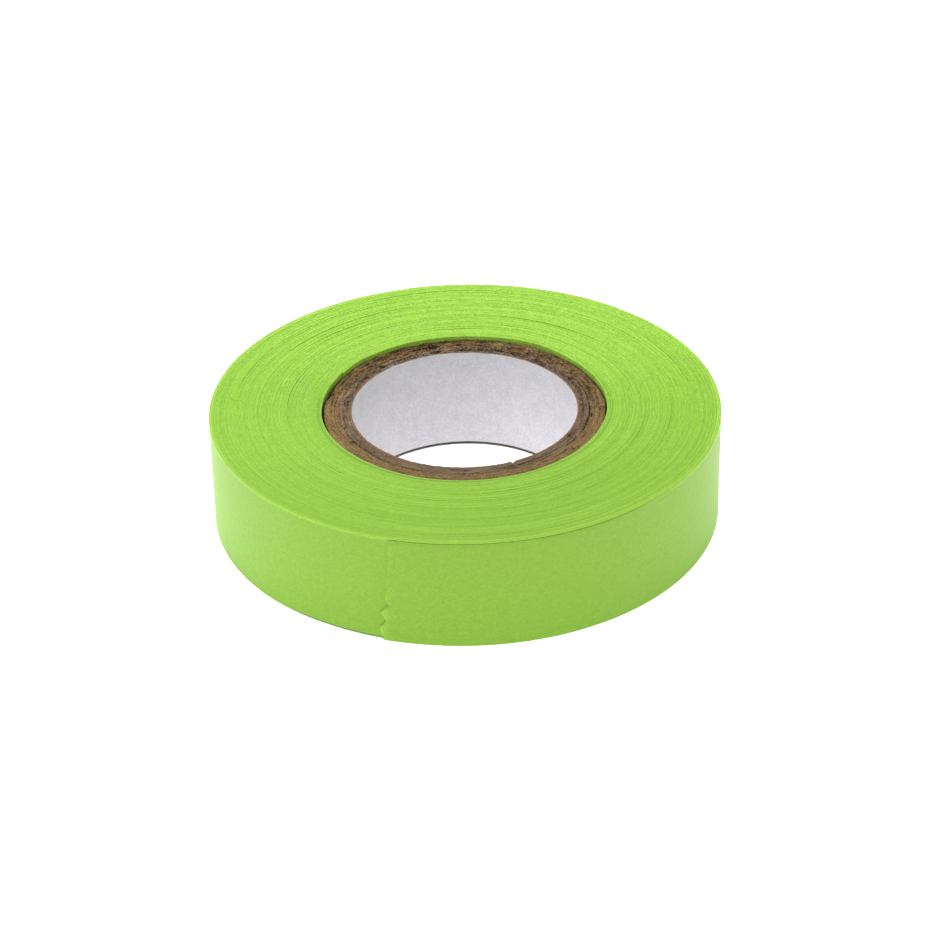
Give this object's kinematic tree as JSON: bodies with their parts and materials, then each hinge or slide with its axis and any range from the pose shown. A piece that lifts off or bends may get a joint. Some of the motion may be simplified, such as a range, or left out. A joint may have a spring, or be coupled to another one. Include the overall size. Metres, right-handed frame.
{
  "type": "paper marking tape roll",
  "caption": "Flat roll of lime green adhesive paper marking tape on a fibreboard core, with a torn end that peels off.",
  "frame": {"origin": "centre of the plane that the roll rests on when it lies flat, on the roll's axis", "axes": "+Z along the roll's axis, up from the resting plane; the torn tape end is near -Y"},
  "size_m": [0.0578, 0.0579, 0.013],
  "materials": {
    "tape_paper": "satin",
    "tape_adhesive": "satin",
    "core_board_inner": "matte",
    "core_board_outer": "matte",
    "core_liner": "matte"
  },
  "bodies": {
    "roll": {"core_liner": "core_liner", "core_ply_1": "core_board_inner", "core_ply_2": "core_board_inner", "core_ply_3": "core_board_outer", "core_ply_4": "core_board_outer", "core_ply_5": "core_board_outer", "tape_first_turn": "tape_paper", "tape_pack": "tape_paper", "tape_outer_turn": "tape_paper"},
    "tail_1": {"tail_paper_1": "tape_paper", "tail_adhesive_1": "tape_adhesive"},
    "tail_2": {"tail_paper_2": "tape_paper", "tail_adhesive_2": "tape_adhesive"},
    "tail_3": {"tail_paper_3": "tape_paper", "tail_adhesive_3": "tape_adhesive"},
    "tail_4": {"tail_paper_4": "tape_paper", "tail_adhesive_4": "tape_adhesive"},
    "tail_5": {"tail_paper_5": "tape_paper", "tail_adhesive_5": "tape_adhesive"},
    "tail_6": {"tail_paper_6": "tape_paper", "tail_adhesive_6": "tape_adhesive"},
    "tail_7": {"tail_paper_7": "tape_paper", "tail_adhesive_7": "tape_adhesive"}
  },
  "joints": [
    {"name": "tail_peel", "type": "hinge", "parent": "roll", "child": "tail_1", "pos_m": [0.02645, -0.01178, 0.00635], "axis": [0, 0, 1], "range_deg": [0, 40]},
    {"name": "tail_curl_2", "type": "hinge", "parent": "tail_1", "child": "tail_2", "pos_m": [0.02342, -0.01702, 0.00635], "axis": [0, 0, 1], "range_deg": [0, 12]},
    {"name": "tail_curl_3", "type": "hinge", "parent": "tail_2", "child": "tail_3", "pos_m": [0.01937, -0.02151, 0.00635], "axis": [0, 0, 1], "range_deg": [0, 12]},
    {"name": "tail_curl_4", "type": "hinge", "parent": "tail_3", "child": "tail_4", "pos_m": [0.01448, -0.02507, 0.00635], "axis": [0, 0, 1], "range_deg": [0, 12]},
    {"name": "tail_curl_5", "type": "hinge", "parent": "tail_4", "child": "tail_5", "pos_m": [0.00895, -0.02753, 0.00635], "axis": [0, 0, 1], "range_deg": [0, 12]},
    {"name": "tail_curl_6", "type": "hinge", "parent": "tail_5", "child": "tail_6", "pos_m": [0.00303, -0.02879, 0.00635], "axis": [0, 0, 1], "range_deg": [0, 12]},
    {"name": "tail_curl_7", "type": "hinge", "parent": "tail_6", "child": "tail_7", "pos_m": [-0.00303, -0.02879, 0.00635], "axis": [0, 0, 1], "range_deg": [0, 12]}
  ],
  "couplings": [
    {"joint": "tail_curl_2", "follows": "tail_peel", "ratio": 0.3},
    {"joint": "tail_curl_3", "follows": "tail_peel", "ratio": 0.3},
    {"joint": "tail_curl_4", "follows": "tail_peel", "ratio": 0.3},
    {"joint": "tail_curl_5", "follows": "tail_peel", "ratio": 0.3},
    {"joint": "tail_curl_6", "follows": "tail_peel", "ratio": 0.3},
    {"joint": "tail_curl_7", "follows": "tail_peel", "ratio": 0.3}
  ]
}
